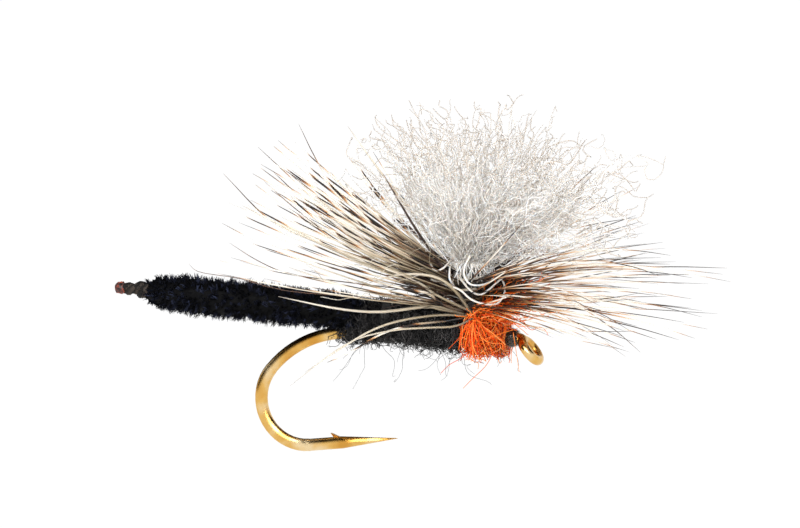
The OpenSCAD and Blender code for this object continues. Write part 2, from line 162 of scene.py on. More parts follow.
# The chenille's core is two plies of yarn twisted together. Its last stretch is bare at the tail,
# where the pile has been burnt off: the plies there are stiff, grey-brown and frayed.
def tubes(name, paths, radii, columns=1, column=0, sides=3, flat=1.0, swell=None):
    """A mesh object of closed tubes. paths is (n, k, 3) and radii (n, k), in metres. The map has u
    along each tube and v across it, within the tube's own column of the given number of columns."""
    n, k = radii.shape
    along = np.gradient(paths, axis=1)
    along /= np.linalg.norm(along, axis=2, keepdims=True)
    least = np.eye(3)[np.abs(along.mean(axis=1)).argmin(axis=1)]
    across = np.cross(along, least[:, None])
    across /= np.linalg.norm(across, axis=2, keepdims=True)
    over = np.cross(across, along)
    angle = 2 * np.pi * np.arange(sides) / sides
    ring = across[:, :, None] * np.cos(angle)[:, None] + flat * over[:, :, None] * np.sin(angle)[:, None]
    reach = radii[:, :, None] * (1 if swell is None else swell)
    points = paths[:, :, None] + reach[..., None] * ring
    index = np.arange(n * k * sides).reshape(n, k, sides)
    after = np.roll(index, -1, axis=2)
    walls = np.stack([index[:, :-1], index[:, 1:], after[:, 1:], after[:, :-1]], axis=-1)
    ends = np.stack([index[:, 0], index[:, -1, ::-1]], axis=1)
    corners = np.concatenate([walls.ravel(), ends.ravel()])
    counts = np.concatenate([np.full(walls.size // 4, 4), np.full(2 * n, sides)])
    mesh = bpy.data.meshes.new(name)
    mesh.vertices.add(n * k * sides)
    mesh.vertices.foreach_set("co", points.ravel())
    mesh.loops.add(len(corners))
    mesh.loops.foreach_set("vertex_index", corners)
    mesh.polygons.add(len(counts))
    mesh.polygons.foreach_set("loop_start", np.concatenate([[0], np.cumsum(counts)[:-1]]))
    mesh.update(calc_edges=True)
    mesh.shade_smooth()
    u = np.broadcast_to((np.arange(k - 1)[:, None] + [0, 1, 1, 0])[None, :, None] / (k - 1), walls.shape)
    share = (np.arange(sides)[:, None] + [0, 0, 1, 1]) / sides
    base = np.broadcast_to(column, n)[:, None, None, None]
    v = np.broadcast_to((base + 0.1 + 0.8 * share) / columns, walls.shape)
    end_u = np.broadcast_to(np.array([0.0, 0.98])[:, None] + 0.02 * (np.arange(sides) % 2), ends.shape)
    end_v = np.broadcast_to((base[..., 0] + 0.1 + 0.8 * np.arange(sides) / sides) / columns, ends.shape)
    places = np.stack(
        [np.concatenate([u.ravel(), end_u.ravel()]), np.concatenate([v.ravel(), end_v.ravel()])], axis=1
    )
    mesh.uv_layers.new(name="OFBake").data.foreach_set("uv", places.ravel())
    piece = bpy.data.objects.new(name, mesh)
    bpy.context.collection.objects.link(piece)
    return piece


# Fibres of one piece differ in shade, each shade a column of the map, and light soaks a little way in
shades = 32
soak_depth = 0.1 * mm


def fibre_material(name, stops, roughness, specular=0.5, glow=0.0, painted_shade_along=None, body=1.0):
    """A fibre's finish: its colour by column from stops, multiplied along its length by a ramp of painted
    shade, how much light soaks into it (glow) and how much it stops (body)."""
    material, tree = bare_tree(name)
    spot = add(tree, "ShaderNodeUVMap", uv_map="OFBake").outputs["UV"]
    axes = add(tree, "ShaderNodeSeparateXYZ", {"Vector": spot})
    colour = add(tree, "ShaderNodeValToRGB", {"Fac": axes.outputs["Y"]}, stops=stops).outputs["Color"]
    # Painted shade along the fibre's length, from the second ramp
    if painted_shade_along:
        painted_shade = add(tree, "ShaderNodeValToRGB", {"Fac": axes.outputs["X"]}, stops=painted_shade_along)
        colour = add(
            tree, "ShaderNodeMix", {"Factor": 1.0, "A": colour, "B": painted_shade.outputs["Color"]},
            data_type="RGBA", blend_type="MULTIPLY",
        ).outputs["Result"]
    fibre = add(
        tree, "ShaderNodeBsdfPrincipled",
        {
            "Base Color": colour, "Roughness": roughness, "Specular IOR Level": specular,
            "Alpha": body, "Subsurface Weight": glow, "Subsurface Radius": (1.0, 0.9, 0.8),
            "Subsurface Scale": soak_depth,
        },
    )
    add(tree, "ShaderNodeOutputMaterial", {"Surface": fibre.outputs["BSDF"]})
    return material


core_low, core_high = (np.array(corner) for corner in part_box("body_core"))
bead_low, bead_high = (np.array(corner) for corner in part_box("singed_tip"))
core_r = (core_high[1] - core_low[1]) / 2
body_front = np.array([core_high[0], 0, core_low[2] + core_r])
body_tail = np.array([core_low[0], 0, core_high[2] - core_r])
body_len = np.linalg.norm(body_tail - body_front)
body_dir = (body_tail - body_front) / body_len
body_side = np.array([0.0, 1.0, 0.0])
body_up = np.cross(body_side, body_dir)
body_up *= np.sign(body_up[2])
bare_len = 1.2 * mm
drawn_len = 2.6 * mm
twist_lay = 1.3 * mm
yarns = 40
knots = 60

rng = np.random.default_rng(3)
s = np.linspace(0, 1, knots)
reach = body_len - drawn_len + s * drawn_len
spread = np.interp(s, [0, 0.4, 0.55, 0.75, 1], [0.3, 0.4, 0.42, 0.28, 0.22]) * mm
ply = np.arange(yarns) % 2
within = rng.uniform(0, 2 * np.pi, yarns)
off = np.sqrt(rng.uniform(0.05, 1.0, yarns))
turn = 2 * np.pi * reach / twist_lay
wide = (ply * np.pi)[:, None] + turn
fine = within[:, None] + 1.4 * turn
sideways = spread * (0.4 * np.cos(wide) + 0.6 * off[:, None] * np.cos(fine))
upward = spread * (0.4 * np.sin(wide) + 0.6 * off[:, None] * np.sin(fine))
paths = (
    body_front + reach[None, :, None] * body_dir
    + sideways[..., None] * body_side + upward[..., None] * body_up
)
radii = np.interp(s, [0, 0.6, 1], [0.11, 0.1, 0.08]) * mm * rng.uniform(0.6, 1.3, (yarns, knots))
plies = tubes("bare_core", paths, radii, yarns, np.arange(yarns), sides=6)
singed_yarn = fibre_material(
    "singed_yarn", [(0.0, "#0d0c0b"), (0.5, "#211d1a"), (0.85, "#3a322b"), (1.0, "#615246")],
    roughness=0.7, specular=0.2,
)
plies.data.materials.append(singed_yarn)
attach(plies, "root")
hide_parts("body_core")


# The bead at the very end is the core's own fibre, melted so that the body can't unravel.
# It has set as a hard, uneven reddish-brown drop.
def lump_noise(rng, k, sides, size):
    """A smooth uneven swelling for a sleeve of k rings and the given sides."""
    rings = np.linspace(0, 1, k)[:, None]
    turns = np.linspace(0, 2 * np.pi, sides, endpoint=False)
    waves = 14
    total = np.zeros((k, sides))
    for _ in range(waves):
        around, along = rng.integers(1, 7), rng.uniform(2, 14)
        total += np.sin(around * turns + along * rings * 2 + rng.uniform(0, 6.28)) / waves**0.5
    return 1 + size * total[None]


bead_r = (bead_high[1] - bead_low[1]) / 2
bead_len = 0.52 * mm
bead_sunk = 0.06 * mm
rings, sides = 16, 28
s = np.linspace(0, 1, rings)
profile = np.interp(s, [0, 0.2, 0.5, 0.8, 0.93, 1], [0.8, 0.98, 1.0, 0.86, 0.55, 0.1]) * bead_r
bead_axis = body_front + (body_len - bead_sunk + s * bead_len)[:, None] * body_dir
melt = tubes(
    "melted_bead", bead_axis[None], profile[None], sides=sides, swell=lump_noise(rng, rings, sides, 0.09)
)
melt_lump = 0.2 * mm
melt_depth = 0.06 * mm
melted_fibre, tree = bare_tree("melted_nylon")
place = add(tree, "ShaderNodeTexCoord").outputs["Object"]
lumps = add(tree, "ShaderNodeTexNoise", {"Vector": place, "Scale": 1 / melt_lump, "Detail": 3.0})
shade = add(
    tree, "ShaderNodeValToRGB", {"Fac": lumps.outputs["Fac"]},
    stops=[(0.36, "#140806"), (0.48, "#471c13"), (0.58, "#7c3524"), (0.7, "#aa5c43")],
)
dents = add(
    tree, "ShaderNodeBump", {"Height": lumps.outputs["Fac"], "Strength": 0.8, "Distance": melt_depth}
)
drop = add(
    tree, "ShaderNodeBsdfPrincipled",
    {"Base Color": shade.outputs["Color"], "Roughness": 0.4, "Normal": dents.outputs["Normal"]},
)
add(tree, "ShaderNodeOutputMaterial", {"Surface": drop.outputs["BSDF"]})
melt.data.materials.append(melted_fibre)
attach(melt, "root")
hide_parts("singed_tip")


# Chenille is short rayon pile held between the twisted plies, so it stands straight out all round in
# small tufts. It is black; its cold sheen is painted as navy-grey tufts. A dark sleeve inside stands
# for the pile's packed roots, and the hairs are as thick as they need to be to show.
pile_low, pile_high = (np.array(corner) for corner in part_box("body_pile"))
pile_len = body_len - bare_len
pile_r = (pile_high[1] - pile_low[1]) / 2
tied_end = 4.4 * mm
tied_fade = 0.9 * mm


def pile_reach(along):
    """Radius of the pile at a distance from the chenille's front end."""
    near_end = pile_len - np.array([2.2, 1.4, 0.8, 0.33, 0]) * mm
    marks = np.concatenate([[0, tied_end, tied_end + tied_fade], near_end])
    return pile_r * np.interp(along, marks, [0.7, 0.74, 1, 1, 0.93, 0.83, 0.66, 0.44])


def body_point(along, turn, out):
    """Points at a distance along the chenille, an angle round it and a distance from its axis."""
    ring = np.cos(turn)[..., None] * body_side + np.sin(turn)[..., None] * body_up
    return body_front + along[..., None] * body_dir + out[..., None] * ring


rng = np.random.default_rng(5)
rings, sides = 90, 36
s = np.linspace(0, pile_len, rings)
swell = 1 + 0.05 * rng.standard_normal((1, rings, sides))
sleeve = tubes(
    "pile_roots", (body_front + s[:, None] * body_dir)[None], 0.76 * pile_reach(s)[None],
    shades, 0, sides=sides, swell=swell,
)
# Each tuft's hairs start apart and draw together at its tip
tufts, per_tuft = 2300, 6
pile_count = tufts * per_tuft
tuft_along = rng.uniform(0.01, 1.0, tufts) ** 0.97 * pile_len
tuft_turn = rng.uniform(0, 2 * np.pi, tufts)
tuft_tip = pile_reach(tuft_along) * np.clip(rng.normal(1.0, 0.07, tufts), 0.88, 1.13)
along = np.repeat(tuft_along, per_tuft)
turn = np.repeat(tuft_turn, per_tuft)
tip = np.repeat(tuft_tip, per_tuft) * rng.uniform(0.9, 1.04, pile_count)
tip_along = np.repeat(rng.normal(0.05, 0.12, tufts), per_tuft) + rng.normal(0, 0.06, pile_count)
tip_turn = np.repeat(rng.normal(0, 0.12, tufts), per_tuft) + rng.normal(0, 0.06, pile_count)
root_along = rng.normal(0, 0.1, pile_count)
root_turn = rng.normal(0, 0.12, pile_count)
step = np.linspace(0, 1, 4)
paths = body_point(
    along[:, None] + (root_along[:, None] + (tip_along - root_along)[:, None] * step**1.3) * mm,
    turn[:, None] + root_turn[:, None] + (tip_turn - root_turn)[:, None] * step**1.3,
    tip[:, None] * (0.45 + 0.55 * step),
)
radii = np.broadcast_to(np.array([0.028, 0.025, 0.019, 0.006]) * mm, (pile_count, 4))
tuft_shade = np.repeat(rng.integers(0, shades, tufts), per_tuft)
pile = tubes("chenille_pile", paths, radii, shades, tuft_shade)
# Tufts differ in shade at random, and the navy greys among them are a painted sheen; each hair is painted
# darker towards its root, as shade within the pile
black_rayon = fibre_material(
    "black_rayon_pile", [(0.0, "#030304"), (0.45, "#06070e"), (0.8, "#131623"), (1.0, "#2c3145")],
    roughness=0.6, specular=0.09, painted_shade_along=[(0.3, "#262626"), (0.9, "#ffffff")],
)
for piece in (sleeve, pile):
    piece.data.materials.append(black_rayon)
    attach(piece, "root")
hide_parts("body_pile")


# Black dubbing is loose fur and fibre spun on to waxed thread and wound over the tied-down chenille.
# Most of it lies round the body, and the rest sticks out in a scruffy fringe with a few long hairs.
def crinkle(rng, length, k, wave, size):
    """Sideways wander of fibres of the given lengths: two sine waves on each axis, from the root."""
    n = len(length)
    run = np.linspace(0, 1, k)[None, :, None] * length[:, None, None]
    total = np.zeros((n, k, 3))
    for share in (1.0, 0.45):
        waves = wave * share * rng.uniform(0.7, 1.5, (n, 1, 3))
        start = rng.uniform(0, 2 * np.pi, (n, 1, 3))
        total += share * size * np.sin(2 * np.pi * run / waves + start)
    return (total - total[:, :1]) * np.minimum(1, run / wave)


def spun_fibres(rng, count, axis, reach, length, k, wave, size, lift, wrap, skew=0.35):
    """Paths of fibres that start on a body of revolution round axis (front, rear) with radius
    reach(share) and run round it and away from it: lift is outwards, wrap is round and skew along."""
    share = rng.uniform(0.02, 0.98, count)
    turn = rng.uniform(0, 2 * np.pi, count)
    line = axis[1] - axis[0]
    ahead = line / np.linalg.norm(line)
    up = np.cross(ahead, body_side)
    up *= np.sign(up[2])
    long = rng.uniform(*length, count)
    step = np.linspace(0, 1, k)
    radius = reach(share) * rng.uniform(0.82, 1.0, count)
    spin = np.where(rng.random(count) < 0.5, -1, 1) * rng.uniform(*wrap, count)
    rise = rng.uniform(*lift, count)
    drift = rng.normal(0, skew, count)
    turns = turn[:, None] + (spin * long / radius)[:, None] * step
    outs = radius[:, None] + (rise * long)[:, None] * step**1.4
    place = axis[0] + share[:, None, None] * line + (drift * long)[:, None, None] * step[:, None] * ahead
    ring = np.cos(turns)[..., None] * body_side + np.sin(turns)[..., None] * up
    return place + outs[..., None] * ring + crinkle(rng, long, k, wave, size)


abdomen_low, abdomen_high = (np.array(corner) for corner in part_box("abdomen_dubbing"))
shank_low, shank_high = (np.array(corner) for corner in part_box("thread_base"))
shank_z = (shank_low[2] + shank_high[2]) / 2
abdomen_r = (abdomen_high[1] - abdomen_low[1]) / 2
abdomen_lift = 0.15 * mm
abdomen_ahead = 0.35 * mm
abdomen_behind = 0.6 * mm
abdomen_axis = (
    np.array([abdomen_high[0] + abdomen_ahead, 0, abdomen_low[2] + abdomen_r + abdomen_lift]),
    np.array([abdomen_low[0] - abdomen_behind, 0, abdomen_high[2] - abdomen_r + abdomen_lift]),
)
shank_axis = (
    np.array([shank_low[0] + 1.4 * mm, 0, shank_z]),
    np.array([shank_low[0] - 0.5 * mm, 0, shank_z]),
)


def abdomen_reach(share):
    """Radius of the black dubbing from its front end to its rear end."""
    return abdomen_r * np.interp(share, [0, 0.2, 0.64, 0.94, 1], [0.72, 0.74, 0.66, 0.52, 0.48])


def shank_reach(share):
    """Radius of the black dubbing round the shank, from the body to the bend."""
    return (0.42 - 0.12 * share) * mm


rng = np.random.default_rng(8)
rings, sides = 50, 40
s = np.linspace(0, 1, rings)
abdomen_line = abdomen_axis[1] - abdomen_axis[0]
black_mass = tubes(
    "black_dubbing_mass", (abdomen_axis[0] + s[:, None] * abdomen_line)[None],
    0.9 * abdomen_reach(s)[None], sides=sides, swell=lump_noise(rng, rings, sides, 0.05),
)
knots = 12
spun = spun_fibres(
    rng, 1700, abdomen_axis, abdomen_reach, length=(0.8 * mm, 2.2 * mm), k=knots,
    wave=0.9 * mm, size=0.07 * mm, lift=(-0.05, 0.25), wrap=(0.3, 0.9),
)
fringe = spun_fibres(
    rng, 1100, abdomen_axis, abdomen_reach, length=(0.5 * mm, 1.5 * mm), k=knots,
    wave=0.7 * mm, size=0.12 * mm, lift=(0.1, 0.5), wrap=(0.1, 0.8),
)
tail_fringe = spun_fibres(
    rng, 420, shank_axis, shank_reach, length=(0.4 * mm, 1.2 * mm), k=knots,
    wave=0.7 * mm, size=0.1 * mm, lift=(0.0, 0.45), wrap=(0.1, 0.8),
)
paths = np.concatenate([spun, fringe, tail_fringe])
front_edge = abdomen_axis[0][0] + rng.uniform(-0.1, 0.35, (len(paths), 1)) * mm
paths[..., 0] = np.minimum(paths[..., 0], front_edge)
radii = np.broadcast_to(np.linspace(0.026, 0.011, knots) * mm, paths.shape[:2])
black_spun = tubes("black_dubbing", paths, radii, shades, rng.integers(0, shades, len(paths)))
# Long hairs hang from the underside
hairs, knots = 26, 24
share = rng.uniform(0, 1, hairs)
turn = np.radians(rng.normal(-90, 45, hairs))
step = np.linspace(0, 1, knots)
long = rng.uniform(0.7, 2.6, hairs) * mm
root = (
    abdomen_axis[0] + share[:, None] * abdomen_line
    + 0.9 * abdomen_reach(share)[:, None] * np.stack([0 * turn, np.cos(turn), np.sin(turn)], axis=1)
)
way = np.stack([rng.normal(-0.1, 0.6, hairs), 0.5 * np.cos(turn), np.full(hairs, -0.8)], axis=1)
# A pinch of it is caught under the orange dubbing, near the head
pinch = 14
pinch_root = np.array([-1.45, -0.35, -0.05]) * mm + rng.normal(0, 0.1, (pinch, 3)) * mm
root = np.concatenate([root, pinch_root])
way = np.concatenate([way, np.array([0.3, -0.1, -0.7]) + rng.normal(0, 0.5, (pinch, 3))])
long = np.concatenate([long, rng.uniform(0.35, 0.65, pinch) * mm])
paths = root[:, None] + (long[:, None] * step)[..., None] * way[:, None]
paths += crinkle(rng, long, knots, wave=3.0 * mm, size=0.5 * mm)
radii = np.broadcast_to(np.linspace(0.014, 0.007, knots) * mm, paths.shape[:2])
black_hairs = tubes("black_hairs", paths, radii, shades, rng.integers(0, shades, len(paths)))
# Fibres differ in shade at random, and the palest greys also stand for painted highlights on the black fur
black_fur = fibre_material(
    "black_fur_dubbing", [(0.0, "#030303"), (0.55, "#0f0e0f"), (0.85, "#292727"), (1.0, "#5a5755")],
    roughness=0.4, specular=0.4,
)
for piece in (black_mass, black_spun, black_hairs):
    piece.data.materials.append(black_fur)
    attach(piece, "root")
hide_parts("abdomen_dubbing")


# The wing is a tuft of grey-cream polypropylene yarn, bound upright and combed out. Each filament is
# finely crinkled, so the tuft is a soft cloud, thick at the post and thin at its edge. The filaments
# are fewer than the real ones, and as thick as they need to be to show.
post_low, post_high = (np.array(corner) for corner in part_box("post_wraps"))
post_x = (post_low[0] + post_high[0]) / 2
post_wrap_t = 0.08 * mm
post_r = (post_high[1] - post_low[1]) / 2 - post_wrap_t
post_top = np.array([post_x, 0, post_high[2]])


def strands_of(node):
    """Middle lines of the strands that stand on a node's mesh, each from its root to its tip."""
    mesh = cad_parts[node].data
    corners = np.empty(3 * len(mesh.vertices))
    mesh.vertices.foreach_get("co", corners)
    places, index = np.unique(np.round(corners.reshape(-1, 3), 7), axis=0, return_inverse=True)
    ends = np.empty(2 * len(mesh.edges), dtype=int)
    mesh.edges.foreach_get("vertices", ends)
    joined = [set() for _ in places]
    for a, b in index.ravel()[ends].reshape(-1, 2):
        joined[a].add(b)
        joined[b].add(a)
    lines = []
    for tip, ring in enumerate(joined):
        line, passed = [places[tip]], {tip}
        while len(ring) == 3:
            line.append(places[list(ring)].mean(axis=0))
            passed |= ring
            ring = set().union(*(joined[i] for i in ring)) - passed
        if len(line) > 2:
            lines.append(line[::-1])
    return np.array(lines)


def smooth(points, k, shares=None):
    """Smooth paths of k points through rows of guide points, which lie at the given shares."""
    points = np.asarray(points)
    first = 2 * points[..., :1, :] - points[..., 1:2, :]
    last = 2 * points[..., -1:, :] - points[..., -2:-1, :]
    guides = np.concatenate([first, points, last], axis=-2)
    count = points.shape[-2]
    shares = np.linspace(0, 1, count) if shares is None else shares
    spot = np.interp(np.linspace(0, 1, k), shares, np.arange(count)) * (1 - 1e-9)
    cell = spot.astype(int)
    f = (spot - cell)[:, None]
    a, b, c, d = (guides[..., cell + i, :] for i in range(4))
    return 0.5 * (2 * b + (c - a) * f + (2 * a - 5 * b + 4 * c - d) * f**2 + (3 * b - a - 3 * c + d) * f**3)


rng = np.random.default_rng(21)
knots = 60
yarn_len = 8.6 * mm
step = np.linspace(0, 1, knots)
bundles = smooth(strands_of("wing_post"), knots, [0, 0.09, 0.45, 0.74, 1])
# Combed-out locks: angle from upright towards the eye, spread, length and number of filaments
locks = np.array([
    (-47, 5, 8.4, 38), (-24, 7, 8.2, 24), (3, 8, 7.9, 26),
    (32, 7, 8.3, 36), (59, 6, 9.6, 56), (74, 4, 8.4, 26),
])
lock = np.repeat(np.arange(len(locks)), locks[:, 3].astype(int))
free = len(lock)
lean = np.radians(rng.normal(locks[lock, 0], locks[lock, 1]))[:, None] * (0.75 + 0.25 * step)
long = locks[lock, 2] * rng.uniform(0.6, 1.05, free) * mm
# Every twentieth filament stands out past its lock
long[::20] *= 1.25
aside = np.radians(rng.normal(0, 14, free))[:, None]
way = np.stack(
    [np.sin(lean) * np.cos(aside), np.sin(aside) + 0 * lean, np.cos(lean) * np.cos(aside)], axis=-1
)
foot = bundles[rng.integers(0, len(bundles), free), :1]
combed = foot + (long[:, None] * step)[..., None] * way
combed += crinkle(rng, long, knots, wave=4.0 * mm, size=0.4 * mm)
paths = np.concatenate([bundles, combed])
filaments = len(paths)
paths += crinkle(rng, np.full(filaments, yarn_len), knots, wave=1.9 * mm, size=0.17 * mm)
filament_r = np.interp(step, [0, 0.5, 0.9, 1], [0.018, 0.028, 0.034, 0.022]) * mm
radii = filament_r * rng.uniform(0.7, 1.3, (filaments, 1))
# The filaments are painted darker towards their tips, a painted shade for fibres seen against the bright
# room
yarn = fibre_material(
    "grey_polypropylene_yarn", [(0.0, "#e7e3de"), (0.35, "#efece8"), (0.75, "#f6f4f2"), (1.0, "#fdfcfb")],
    roughness=0.5, specular=0.25, glow=1.0,
    painted_shade_along=[(0.0, "#fff8ee"), (0.7, "#fffcf8"), (1.0, "#aba49c")], body=0.55,
)
for number, chosen in enumerate(np.array_split(np.arange(filaments), 3)):
    tuft = tubes(
        f"wing_yarn_{number + 1}", paths[chosen], radii[chosen],
        shades, rng.integers(0, shades, len(chosen)),
    )
    tuft.data.materials.append(yarn)
    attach(tuft, "root")
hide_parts("wing_post")


# A few thick filaments of the wing have slipped out in front of the post and hang in loops.
# Short ends of the yarn turn over the top of the thread round the post as a frill.
knots = 40
loop_bow = 0.6 * mm
loop_guides = [
    [
        (-3.4, -0.9, 3.6), (-2.6, -1.2, 3), (-2, -1.3, 2.8),
        (-1.6, -1.3, 3), (-1.1, -1.1, 3.5), (-0.8, -0.9, 3.8),
    ],
    [
        (-4.7, -1.1, 3.4), (-3.8, -1.3, 3.2), (-3, -1.4, 3), (-2.4, -1.5, 2.6), (-1.8, -1.5, 2.4),
        (-1.1, -1.5, 2.4), (-0.8, -1.4, 2.8), (-0.9, -1.2, 3.3), (-1.4, -1, 3.8),
    ],
    [(-3.8, -0.8, 4.2), (-3.6, -1.1, 3.7), (-3.5, -1.2, 3.4), (-3.5, -1.2, 3.1)],
    [(-2.8, -0.8, 4.6), (-2.9, -1.1, 3.9), (-2.5, -1.2, 3.3), (-1.8, -1.1, 3.3), (-1.3, -0.9, 3.8)],
    [(-4.8, -0.9, 4.2), (-4.3, -1.2, 3.9), (-3.9, -1.2, 4), (-3.7, -0.9, 4.4)],
]
loops = np.stack([smooth(np.array(points) * mm, knots) for points in loop_guides])
loops[..., 1] -= loop_bow * np.sin(np.pi * np.linspace(0, 1, knots))
frill = 130
frill_turn = rng.uniform(0, 2 * np.pi, frill)
frill_way = np.stack([np.cos(frill_turn), np.sin(frill_turn), np.zeros(frill)], axis=1)
frill_top = post_top + 0.95 * post_r * frill_way + [0, 0, 0.5 * mm]
frill_out = post_top + (post_r + rng.uniform(0.2, 0.6, (frill, 1)) * mm) * frill_way + [0, 0, 0.3 * mm]
frill_end = frill_out + rng.normal([0, 0, -0.7], [0.3, 0.2, 0.3], (frill, 3)) * mm
frill_paths = smooth(np.stack([frill_top, frill_out, frill_end], axis=1), knots)
loops = np.concatenate([loops, frill_paths])
loop_r = np.repeat([0.05, 0.026], [len(loop_guides), frill])[:, None] * mm * np.ones(knots)
loop_piece = tubes("wing_loops", loops, loop_r, shades, rng.integers(0, shades, len(loops)), sides=5)
loop_piece.data.materials.append(yarn)
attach(loop_piece, "root")


# The hackle is one cock's neck feather, stripped at the butt and wound round the post like the coils
# of a spring. Its barbs stand out all round. They are barred cream, brown and black across the
# feather, so bars at like distances line up from one barb to the next.
stem_r = 0.07 * mm
coil_r = post_r + post_wrap_t + stem_r
coil_low = post_low[2] + 2 * stem_r
coil_high = post_high[2] - stem_r
coil_turns = 3.3
# Columns of the map: barbs with a dark tip come first, then barred, pale and dark ones
columns = 32
barred_from, pale_from, dark_from = 9, 24, 30

rng = np.random.default_rng(34)
knots = 120
s = np.linspace(0, 1, knots)
turn = 2 * np.pi * coil_turns * s
coil_z = coil_low + (coil_high - coil_low) * s
coil = np.stack([post_x + coil_r * np.cos(turn), coil_r * np.sin(turn), coil_z], axis=1)
stem = tubes("hackle_stem", coil[None], np.full((1, knots), stem_r), sides=8)
knots = 18
step = np.linspace(0, 1, knots)
lines = strands_of("parachute_hackle")
paths = smooth(lines[:, [0, 2, 3, 4]], knots, [0, 0.4, 0.75, 1])
out_way = lines[:, -1] - lines[:, 0]
turn = np.arctan2(out_way[:, 1], out_way[:, 0])
# Some barbs cling to a neighbour, cross over or hang loose
loose = 90
chance = (np.sin(turn) > -0.6) * np.where(np.cos(turn) < -0.2, 0.4, 1.0)
on = rng.choice(len(paths), loose, p=chance / chance.sum())
spread = rng.normal(0, 1, (loose, 1, 3)) * np.array([0.5, 0.9, 0.8]) * mm
spread[..., 2] = np.where(np.cos(turn[on])[:, None] < -0.2, np.abs(spread[..., 2]), spread[..., 2])
loose_paths = paths[on] + spread * (step**1.5)[:, None]
loose_paths += rng.normal(0, 0.35, (loose, 1, 3)) * mm * np.sin(np.pi * step)[:, None]
paths = np.concatenate([paths, loose_paths])
turn = np.concatenate([turn, turn[on]])
barbs = len(paths)
to_tail = (1 - np.cos(turn)) / 2
ahead_column = rng.integers(0, barred_from, barbs)
column = np.where(to_tail < 0.4, ahead_column, rng.integers(barred_from, dark_from, barbs))
width = rng.uniform(0.6, 1.35, barbs) * (0.85 + 0.15 * to_tail)
# Short dark barbs at the root of the feather fill the space round the post. Most lie towards the tail,
# some towards the eye, and those on the near side are the shortest
web, web_to_tail, web_to_eye = 230, 130, 50
near_side = 272
web_turn = rng.uniform(0, 2 * np.pi, web)
web_turn[:web_to_tail] = rng.normal(np.pi, 0.5, web_to_tail)
web_turn[web_to_tail : web_to_tail + web_to_eye] = rng.normal(0, 0.5, web_to_eye)
web_rise = np.radians(rng.normal(12, 11, web) - 6 * np.cos(web_turn))
facing = np.exp(-(((np.degrees(web_turn) - near_side) / 45) ** 2))
web_long = np.where(np.cos(web_turn) < 0, rng.uniform(1.5, 4.4, web), rng.uniform(1.2, 3.4, web))
web_long *= (1 - 0.7 * facing) * mm
flat_way = np.stack([np.cos(web_turn), np.sin(web_turn), np.zeros(web)], axis=1)
web_root = np.array([post_x, 0, 0]) + 0.9 * coil_r * flat_way
web_root[:, 2] = rng.uniform(coil_low, coil_high, web)
web_way = np.cos(web_rise)[:, None] * flat_way + np.sin(web_rise)[:, None] * [0, 0, 1]
web_paths = web_root[:, None] + (web_long[:, None] * step)[..., None] * web_way[:, None]
web_paths += crinkle(rng, web_long, knots, wave=5 * mm, size=0.1 * mm)
# Barbs on the near side, caught by the dubbing and bent back along the body
caught_guides = [
    [
        (-2.6, -1.2, 1.8), (-3.2, -1.6, 2.8), (-3.8, -1.9, 3.4),
        (-4.6, -2.2, 3.7), (-5.9, -2.5, 3.7), (-7.3, -2.7, 3.3),
    ],
    [
        (-2.6, -1.2, 1.9), (-3.6, -1.6, 2.4), (-4.3, -1.9, 2.8),
        (-5.1, -2.2, 3.4), (-6.8, -2.5, 4.1), (-8.5, -2.7, 4.5),
    ],
    [
        (-2.9, -1.2, 1.9), (-3.8, -1.6, 2.2), (-4.6, -1.9, 2.8),
        (-5.7, -2.1, 3), (-7.4, -2.3, 3.4), (-10, -2.5, 4.2),
    ],
    [
        (-3.1, -1.2, 1.8), (-4, -1.5, 2.1), (-4.9, -1.7, 2.3),
        (-6, -1.9, 2.6), (-8.5, -2.1, 3), (-11.5, -2.3, 3.9),
    ],
    [
        (-3, -1.2, 1.8), (-4.1, -1.4, 2), (-4.9, -1.5, 2.1),
        (-7.1, -1.6, 1.8), (-9.3, -1.6, 1.9), (-12.3, -1.6, 2.4),
    ],
    [
        (-2.5, -1.3, 1.6), (-3.4, -1.5, 1.2), (-4.8, -1.6, 1.1),
        (-6.6, -1.7, 0.9), (-8.8, -1.8, 0.2), (-11.6, -1.9, -1.9),
    ],
    [
        (-2.9, -1.2, 1.7), (-4.3, -1.4, 1.7), (-6.1, -1.6, 1.4),
        (-7.5, -1.8, 0.9), (-9, -1.9, 0), (-10.8, -2, -1.2),
    ],
    [
        (-2.9, -1.2, 1.6), (-4.1, -1.4, 1.4), (-5.6, -1.6, 1.2),
        (-7.1, -1.7, 0.7), (-8.6, -1.8, -0.2), (-9.7, -1.9, -0.7),
    ],
    [(-3.3, -1.1, 2.6), (-4.2, -1.6, 4.4), (-5, -2.1, 5.7), (-5.7, -2.5, 7), (-6.5, -3, 8.6)],
    [
        (-2.5, -1.2, 2.1), (-7.1, -1.9, 2.5), (-11.6, -1.9, 2.7),
        (-14.2, -1.9, 3.25), (-16.2, -1.9, 3.5), (-16.8, -1.9, 3.9),
    ],
]
caught = np.stack([smooth(np.array(points) * mm, knots) for points in caught_guides])
caught_width = np.array([1.4, 1.1, 1.2, 1.0, 1.25, 0.8, 0.95, 0.85, 1.15, 0.34])
caught_column = np.array([26, 27, 12, 28, 25, 29, 26, 17, 30, 31])
